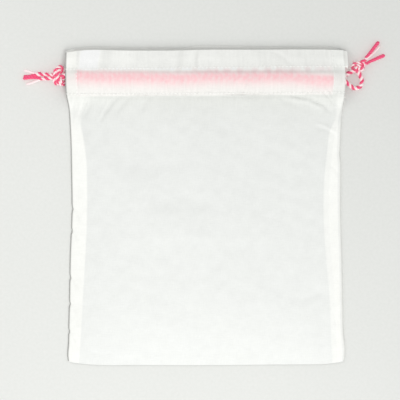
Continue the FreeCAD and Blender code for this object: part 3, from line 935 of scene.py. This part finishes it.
def tube_points(path, radius, sides=6):
    """Rings of points round a path, ends drawn in."""
    path = np.asarray(path, float)
    heading = unit(np.gradient(path, axis=0))
    aside = unit(np.cross(heading, UP))
    above = np.cross(aside, heading)
    radii = np.full(len(path), radius)
    radii[[0, -1]] *= END_TAPER
    return path[:, None, :] + rings_round(aside, above, sides) * radii[:, None, None]


def rings_round(aside, above, sides):
    """Unit rings in the planes of the two crosswise directions."""
    angle = np.linspace(0, 2 * math.pi, sides, endpoint=False)
    return (np.cos(angle)[None, :, None] * aside[:, None, :]
            + np.sin(angle)[None, :, None] * above[:, None, :])


def tube_faces(rows, sides, first):
    """Faces of a tube of rings, with a cap on each end."""
    last = first + (rows - 1) * sides
    return [*grid_faces(rows, sides, first, closed=True).tolist(),
            list(range(first, first + sides))[::-1], list(range(last, last + sides))]


def thread_piece(name, paths, radius, sides=6):
    """Many short or long threads in one piece."""
    points, faces = [], []
    for path in paths:
        first = sum(len(p) for p in points)
        points.append(tube_points(path, radius, sides).reshape(-1, 3))
        faces += tube_faces(len(path), sides, first)
    points = np.concatenate(points)
    points[:, 2] = np.maximum(points[:, 2], 0.02)
    made = add_mesh(name, points, faces, [thread])
    gather(made)
    return made


def make_rows(side):
    """The two stitch rows across the hem, on the front cloth and on the back facing.

    Each stitch is a low arch of thread that comes up at one hole and goes down at the next.
    """
    draw = np.random.default_rng(31 + side)
    for row, line, tilt, back_z in (("upper", UPPER_ROW_Y, ROW_TILT, 0.84),
                                    ("lower", HEM_Y + LOWER_ROW_UP, HEM_TILT, 0.98)):
        for face in ("front", "back"):
            reach = SLIT_INNER + 9.6 if face == "front" else FACING_HALF
            paths = []
            for i in range(1 if side == LEFT else 0, int(reach / STITCH_PITCH) + 1):
                x, z = side * i * STITCH_PITCH, back_z
                y = line + tilt * x + draw.uniform(-0.10, 0.10)
                if face == "front":
                    wide = float(half_width(side, np.array(y)))
                    x = x * wide / MOUTH_HALF
                    z = float(front_height(side, np.array(abs(x) / wide), np.array(x),
                                           np.array(y)))
                heading = (1.0, tilt + draw.uniform(-0.05, 0.05))
                path = np.zeros((len(STITCH_PLACE), 3))
                path[:, :2] = np.array((x, y)) + np.outer(STITCH_PLACE * STITCH_LENGTH, heading)
                path[:, 2] = z - 0.20 + STITCH_RISE * 0.36
                paths.append(path)
            piece = thread_piece(f"{SIDE_NAME[side]}_{face}_{row}_stitch_row", paths, ROW_THREAD)
            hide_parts(f"{face}_{row}_stitches")


def make_slit_rows(side):
    """The stitch row down each slit hem."""
    along = STITCH_PLACE * STITCH_LENGTH
    for face in ("front", "back"):
        paths = []
        for i in range(11):
            y = 92.6 + i * STITCH_PITCH
            wide = float(half_width(side, np.array(y), face == "back"))
            x = side * (SLIT_INNER + 1.2) * wide / MOUTH_HALF
            path = joined(np.full_like(along, x), y + along, np.full_like(along, 0.68))
            if face == "front":
                path[:, 2] = front_height(side, abs(x) / wide, path[:, 0], path[:, 1])
            path[:, 2] += STITCH_RISE * 0.24 - 0.16
            paths.append(path)
        piece = thread_piece(f"{SIDE_NAME[side]}_slit_{face}_stitch_row", paths, SLIT_THREAD)
        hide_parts(f"{SIDE_NAME[side]}_slit_{face}_stitches")


def make_overlock(side):
    """Overlock thread on the allowances' inner edges: slanting loops over the edge."""
    loop_y = np.arange(-120, 86, 1.25)
    reach = np.where(np.arange(len(loop_y)) % 2, 0.1, 4.6)
    loops = joined(side * (ALLOWANCE_INNER[side](loop_y) + reach), loop_y,
                   np.full_like(loop_y, 1.24))
    steps = np.linspace(0, len(loops) - 1, (len(loops) - 1) * 4 + 1)
    index = np.arange(len(loops))
    loops = joined(*(np.interp(steps, index, loops[:, k]) for k in range(3)))
    chain_y = np.arange(-120, 86, 1.0)
    chains = []
    for offset in (0.3, 4.4):
        x = side * (ALLOWANCE_INNER[side](chain_y) + offset + 0.12 * np.sin(chain_y * 2.4))
        chains.append(joined(x, chain_y, np.full_like(chain_y, 1.27)))
    made = thread_piece(f"{SIDE_NAME[side]}_overlock", [loops, *chains], OVERLOCK_THREAD, 5)
    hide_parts(f"{SIDE_NAME[side]}_overlock_thread")


def make_bartack(side):
    """The dense bar of stitches that stops the slit from tearing down the seam."""
    name = SIDE_NAME[side]
    low, high = (np.array(p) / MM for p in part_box(f"{name}_slit_bartack"))
    paths = []
    for i in range(9):
        y0 = low[1] + (high[1] - low[1]) * (i + 0.5) / 9
        x = np.linspace(low[0], high[0], 5)
        z = np.array([0.45, 0.62, 0.66, 0.62, 0.45])
        paths.append(joined(x, y0 + 0.06 * np.array([0, 1, 0, -1, 0]), z))
    made = thread_piece(f"{name}_bartack_stitches", paths, BARTACK_THREAD, 5)
    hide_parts(f"{name}_slit_bartack")


# ---- drawcords -----------------------------------------------------------------------------------
def spline_points(name, route):
    """Points along the route's own NURBS spline, 3rd order, in mm."""
    data = bpy.data.curves.new(name + "_route", "CURVE")
    data.dimensions = "3D"
    data.resolution_u = 24
    line = data.splines.new("NURBS")
    line.points.add(len(route) - 1)
    for point, place in zip(line.points, route):
        point.co = (*[c * MM for c in place], 1)
    line.order_u = 3
    line.use_endpoint_u = True
    holder = bpy.data.objects.new(name + "_route", data)
    scene.collection.objects.link(holder)
    bpy.context.view_layer.update()
    mesh = bpy.data.meshes.new_from_object(holder)
    points = np.array([v.co[:] for v in mesh.vertices]) / MM
    bpy.data.meshes.remove(mesh)
    bpy.data.objects.remove(holder)
    bpy.data.curves.remove(data)
    return points


def even_points(points, step):
    """The same line, with its points a step apart."""
    run = np.concatenate([[0], np.cumsum(np.linalg.norm(np.diff(points, axis=0), axis=1))])
    keep = np.concatenate([[True], np.diff(run) > 1e-7])
    points, run = points[keep], run[keep]
    at = np.linspace(0, run[-1], max(2, int(round(run[-1] / step)) + 1))
    return joined(*(np.interp(at, run, points[:, k]) for k in range(3))), at


def carried_frames(points):
    """A heading and two crosswise directions at each point, with no twist of their own."""
    heading = unit(np.gradient(points, axis=0))
    aside = np.zeros_like(points)
    aside[0] = unit(np.cross(heading[0], UP))
    for i in range(1, len(points)):
        aside[i] = unit(aside[i - 1] - heading[i] * (aside[i - 1] @ heading[i]))
    return heading, aside, np.cross(heading, aside)


STRAND_RADIUS = {LEFT: (1.16, 1.00), RIGHT: (1.04, 1.02)}     # of the pink and the white strand
TIP_SWELL = {LEFT: (0.14, -0.12), RIGHT: (0.40, -0.34)}       # how each changes towards its tip
STRAND_OUT = 0.78
TWIST_START = 0.4
RING = 12
CORD_STEP = 0.42
FIBRES_PER_POINT = 4.4
FIBRE_RADIUS = 0.055
FIBRE_LENGTH = (0.8, 1.9)
PLY_LENGTH, PLY_DEPTH = 9.0, 0.085
TIP_ROUND = 1.4                   # length over which a tip is rounded off


def fuzz_fibres(seed, centre, a, b, apart, first):
    """Fine loose fibres that stand off a strand: thin three-sided hairs with closed ends.

    They are shorter where the strands come apart.
    """
    draw = np.random.default_rng(seed)
    points, faces = [], []
    t = np.array([0.0, 0.5, 1.0])[:, None]
    for i in range(int(len(centre) * FIBRES_PER_POINT)):
        k = int(draw.integers(1, len(centre) - 1))
        turn = draw.uniform(0, 2 * math.pi)
        out = math.cos(turn) * a[k] + math.sin(turn) * b[k]
        run = unit(centre[k + 1] - centre[k - 1]) * draw.uniform(-1.0, 1.0)
        bend = draw.normal(0, 0.45, 3)
        length = draw.uniform(*FIBRE_LENGTH) * (1 - 0.80 * apart[k])
        path = centre[k] + out * 0.85 + length * (t * (out * 0.62 + run) + t * t * bend * 0.6)
        points.append(tube_points(path, FIBRE_RADIUS, 3).reshape(-1, 3))
        faces += tube_faces(3, 3, first + 9 * i)
    return np.concatenate(points), faces


def rope(name, route, side, phase_end=None, fuzz=None, loose_from=None, tips=None, thin=None):
    """A two-strand cord along the route, one strand pink and one white.

    phase_end is the twist's angle at the end, measured from the crosswise direction that is
    level. loose_from is the distance from which the strands come apart, and tips the sideways
    place of each strand at the end, pink first. thin is (from, to, share): the cord is squeezed
    to that share of its thickness between those distances. fuzz is the seed of its loose fibres.
    """
    points, at = even_points(spline_points(name, route), CORD_STEP)
    heading, aside, above = carried_frames(points)
    total = at[-1]
    angle = TWIST_START + at / TWIST_PITCH * 2 * math.pi
    if phase_end is not None:
        level = unit(np.cross(heading[-1], UP))
        wanted = math.atan2(level @ above[-1], level @ aside[-1]) + phase_end
        excess = (wanted - angle[-1] + math.pi) % (2 * math.pi) - math.pi
        angle = angle + excess * at / total
    squeeze, apart = np.ones(len(at)), np.zeros(len(at))
    if thin:
        start, end, share = thin
        squeeze = 1 - (1 - share) * rise(at, start, 4.0) * (1 - rise(at, end, 4.0))
    if loose_from is not None:
        apart = smooth((at - loose_from) / (total - loose_from) * 1.15)
    around = np.linspace(0, 2 * math.pi, RING, endpoint=False)
    all_points, faces, which, plies, strands = [], [], [], [], []
    for strand in (0, 1):
        turn = angle + strand * math.pi
        offset = (np.cos(turn)[:, None] * aside + np.sin(turn)[:, None] * above)
        offset = offset * (STRAND_OUT * squeeze)[:, None]
        if tips is not None:
            offset = (offset * (1 - smooth(2.2 * apart))[:, None]
                      + np.array(tips[strand]) * apart[:, None])
        centre = points + offset
        run = unit(np.gradient(centre, axis=0))
        if tips is not None:
            a = carried_frames(centre)[1]
        else:
            a = unit(offset - run * np.sum(offset * run, axis=1, keepdims=True))
        b = np.cross(run, a)
        ply = np.cos(4 * (around[None, :] - at[:, None] * 2 * math.pi / PLY_LENGTH))
        radius = STRAND_RADIUS[side][strand] * squeeze * (1 + TIP_SWELL[side][strand] * apart)
        end = np.minimum(total - at, TIP_ROUND) / TIP_ROUND if tips else np.ones(len(at))
        radius = radius * np.sqrt(np.clip(end * (2 - end), 0.10, 1))
        size = radius[:, None] * (1 + PLY_DEPTH * ply)
        strands.append((strand, centre, a, b))
        strand_faces = tube_faces(len(at), RING, sum(len(p) for p in all_points))
        all_points.append((centre[:, None, :] + rings_round(a, b, RING) * size[..., None])
                          .reshape(-1, 3))
        # the ply pattern, stored for the painted light on the crowns and painted shade in the
        # grooves
        plies.append((0.5 + 0.5 * ply).ravel())
        faces += strand_faces
        which += [strand] * len(strand_faces)
    if fuzz:
        for strand, centre, a, b in strands:
            hairs, hair_faces = fuzz_fibres(fuzz + strand, centre, a, b, apart,
                                            sum(len(p) for p in all_points))
            all_points.append(hairs)
            # the loose fibres sit near the light end of the painted ply light and shade
            plies.append(np.full(len(hairs), 0.8))
            faces += hair_faces
            which += [strand] * len(hair_faces)
    all_points = np.concatenate(all_points)
    all_points[:, 2] = np.maximum(all_points[:, 2], 0.05)
    made = add_mesh(name, all_points, faces, [pink_yarn, white_yarn], which)
    shade = made.data.attributes.new("ply", "FLOAT", "POINT")
    shade.data.foreach_set("value", np.concatenate(plies).astype(np.float32))
    return made, points, at


# The overhand knot as (along, across, up) points, in mm, for a cord that enters at the front.
KNOT = [(-3.6, -0.2, 3.4), (-0.4, -3.0, -0.6), (2.8, -6.0, -1.4), (5.0, -4.6, 1.0),
        (4.0, 0.2, 3.6), (3.2, 4.6, 3.2), (0.2, 7.2, 1.0), (-3.0, 5.2, -1.6),
        (-4.0, 0.4, -3.0), (-4.4, -4.4, -1.4), (-2.4, -7.0, 1.4), (0.8, -4.0, 3.8),
        (3.4, -0.8, -0.4)]


def knot_route(centre, along, across, size, aside, lift):
    """The knot's points in the frame. aside moves this cord beside its neighbour."""
    along, across = unit(np.array(along, float)), unit(np.array(across, float))
    run = unit(np.gradient(np.array(KNOT)[:, :2], axis=0))
    route = []
    for (a, c, z), (run_a, run_c) in zip(KNOT, run):
        a, c = a * size[0] - run_c * aside, c * size[1] + run_a * aside
        route.append(tuple(centre + along * a + across * c + UP * (z * size[2] + lift)))
    return route


LEFT_KNOT = ((-117.3, 105.3, 4.9), (-1, 0, 0), (0, 1, 0), (0.76, 0.94, 0.78))
RIGHT_KNOT = ((120.9, 112.8, 4.6), (0.70, 0.70, 0), (-0.90, 0.43, 0), (0.60, 0.46, 0.68))

LOOPS = {
    LEFT: ([(105.0, UPPER_CORD_Y, BACK_CORD_Z), (111.8, 105.6, 3.2)],
           [(98.0, UPPER_CORD_Y, FRONT_CORD_Z), (105.0, UPPER_CORD_Y, 9.6), (111.8, 106.0, 7.0)],
           UPPER_CORD_Y),
    RIGHT: ([(104.0, LOWER_CORD_Y, BACK_CORD_Z), (111.2, 106.2, 3.0)],
            [(97.5, LOWER_CORD_Y, FRONT_CORD_Z), (103.5, LOWER_CORD_Y, 10.0), (109.4, 101.4, 7.9)],
           LOWER_CORD_Y),
}


def loop_route(side):
    """Held part of a drawcord: back run, bight at the far slit, front run."""
    back_end, front_end, y = LOOPS[side]
    far = -side
    back = [(side * x, py, z) for x, py, z in back_end][::-1]
    front = [(side * x, py, z) for x, py, z in front_end]
    bight = [(far * 97.0, y, BACK_CORD_Z), (far * 104.6, y, BACK_CORD_Z + 0.6),
             (far * 104.6, y, FRONT_CORD_Z - 0.6), (far * 97.0, y, FRONT_CORD_Z)]
    return [*back, *bight, *front]


# Each cord's ways into and out of its knot, and the tips of its two strands (pink, white).
FREE_ENDS = {
    LEFT: {
        "front": ([(-111.8, 106.0, 7.0)],
                  [(-124.4, 106.5, 4.6), (-131.0, 107.0, 3.0), (-138.5, 106.8, 2.1),
                   (-147.0, 107.9, 1.9)],
                  [(0.2, -2.5, -0.2), (0.4, 2.2, -0.2)]),
        "back": ([(-111.8, 105.6, 3.2)],
                 [(-124.6, 103.8, 4.2), (-131.0, 103.5, 2.7), (-138.5, 103.0, 2.0),
                  (-146.2, 101.2, 1.85)],
                 [(-1.0, 2.2, 0.0), (1.4, -2.3, -0.2)]),
    },
    RIGHT: {
        "front": ([(109.4, 101.4, 7.9), (112.0, 100.0, 6.6), (114.6, 97.4, 4.6),
                   (118.8, 95.2, 3.6), (122.8, 96.6, 2.7), (124.6, 100.8, 2.5),
                   (123.2, 105.4, 3.0), (121.0, 108.8, 4.0)],
                  [(125.0, 116.8, 4.8), (129.2, 121.8, 3.6), (133.4, 126.8, 2.4),
                   (138.0, 132.6, 1.9)],
                  [(-0.1, 0.5, 0.0), (0.6, -3.0, -0.1)]),
        "back": ([(111.2, 106.2, 3.0), (114.6, 108.5, 3.7), (118.0, 110.0, 4.6)],
                 [(126.6, 115.2, 4.0), (131.8, 117.4, 3.0), (137.2, 119.8, 2.2),
                  (142.6, 122.0, 1.85)],
                 [(0.1, 0.3, 0.1), (-0.1, -0.7, -0.3)]),
    },
}
LOOSE_LENGTH = {LEFT: {"front": 13.0, "back": 18.0}, RIGHT: {"front": 23.0, "back": 22.0}}
KNOT_SQUEEZE = {LEFT: 0.80, RIGHT: 0.70}
KNOTS = {LEFT: LEFT_KNOT, RIGHT: RIGHT_KNOT}
# Each cord runs this far off the knot's own line, sideways and in height.
BESIDE, ABOVE = 1.25, 0.35
# Which tail of the CAD each cord end stands for, the sign of its offset, and its fibres' seed.
END_ROLES = {"front": ("tail_upper", 1, 0), "back": ("tail_lower", -1, 4)}


def make_drawcord(side):
    name = SIDE_NAME[side] + "_drawcord"
    loop, _, _ = rope(name + "_held_loop", loop_route(side), side, phase_end=TWIST_START)
    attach(loop, name)
    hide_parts(name + "_loop")
    for which, (tail, sign, seed) in END_ROLES.items():
        way_in, way_out, tips = FREE_ENDS[side][which]
        free = LOOSE_LENGTH[side][which]
        route = [*way_in, *knot_route(*KNOTS[side], sign * BESIDE, sign * ABOVE), *way_out]
        length = even_points(spline_points("measure", route), CORD_STEP)[1][-1]
        enter = sum(math.dist(a, b) for a, b in zip(way_in, way_in[1:]))
        made, points, at = rope(f"{name}_{which}_end", route, side, fuzz=60 + 10 * side + seed,
                                loose_from=length - free, tips=tips,
                                thin=(enter, length - free - 4, KNOT_SQUEEZE[side]))
        made.visible_shadow = False
        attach(made, name)
        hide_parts(f"{name}_exit_{which}", f"{name}_knot", f"{name}_{tail}")
        print(made.name, "length", round(float(at[-1]), 1), "mm")


def make_floor():
    half, below = 3.0, 0.0002
    points = [(-half, -half, 0), (half, -half, 0), (half, half, 0), (-half, half, 0)]
    mesh = bpy.data.meshes.new("floor")
    mesh.from_pydata(points, [], [(0, 1, 2, 3)])
    mesh.materials.append(floor_material())
    floor = bpy.data.objects.new("floor", mesh)
    floor.location.z = -below
    scene.collection.objects.link(floor)


make_floor()
for side in (LEFT, RIGHT):
    make_drawcord(side)
make_bottom_fold()
for side in (LEFT, RIGHT):
    front, back = make_front(side), make_back(side)
    facings = make_facings(side)
    turnings = make_slit_hems(side)
    front_allowance, back_allowance, seam = make_allowances(side)
    make_rows(side)
    make_slit_rows(side)
    make_overlock(side)
    make_bartack(side)
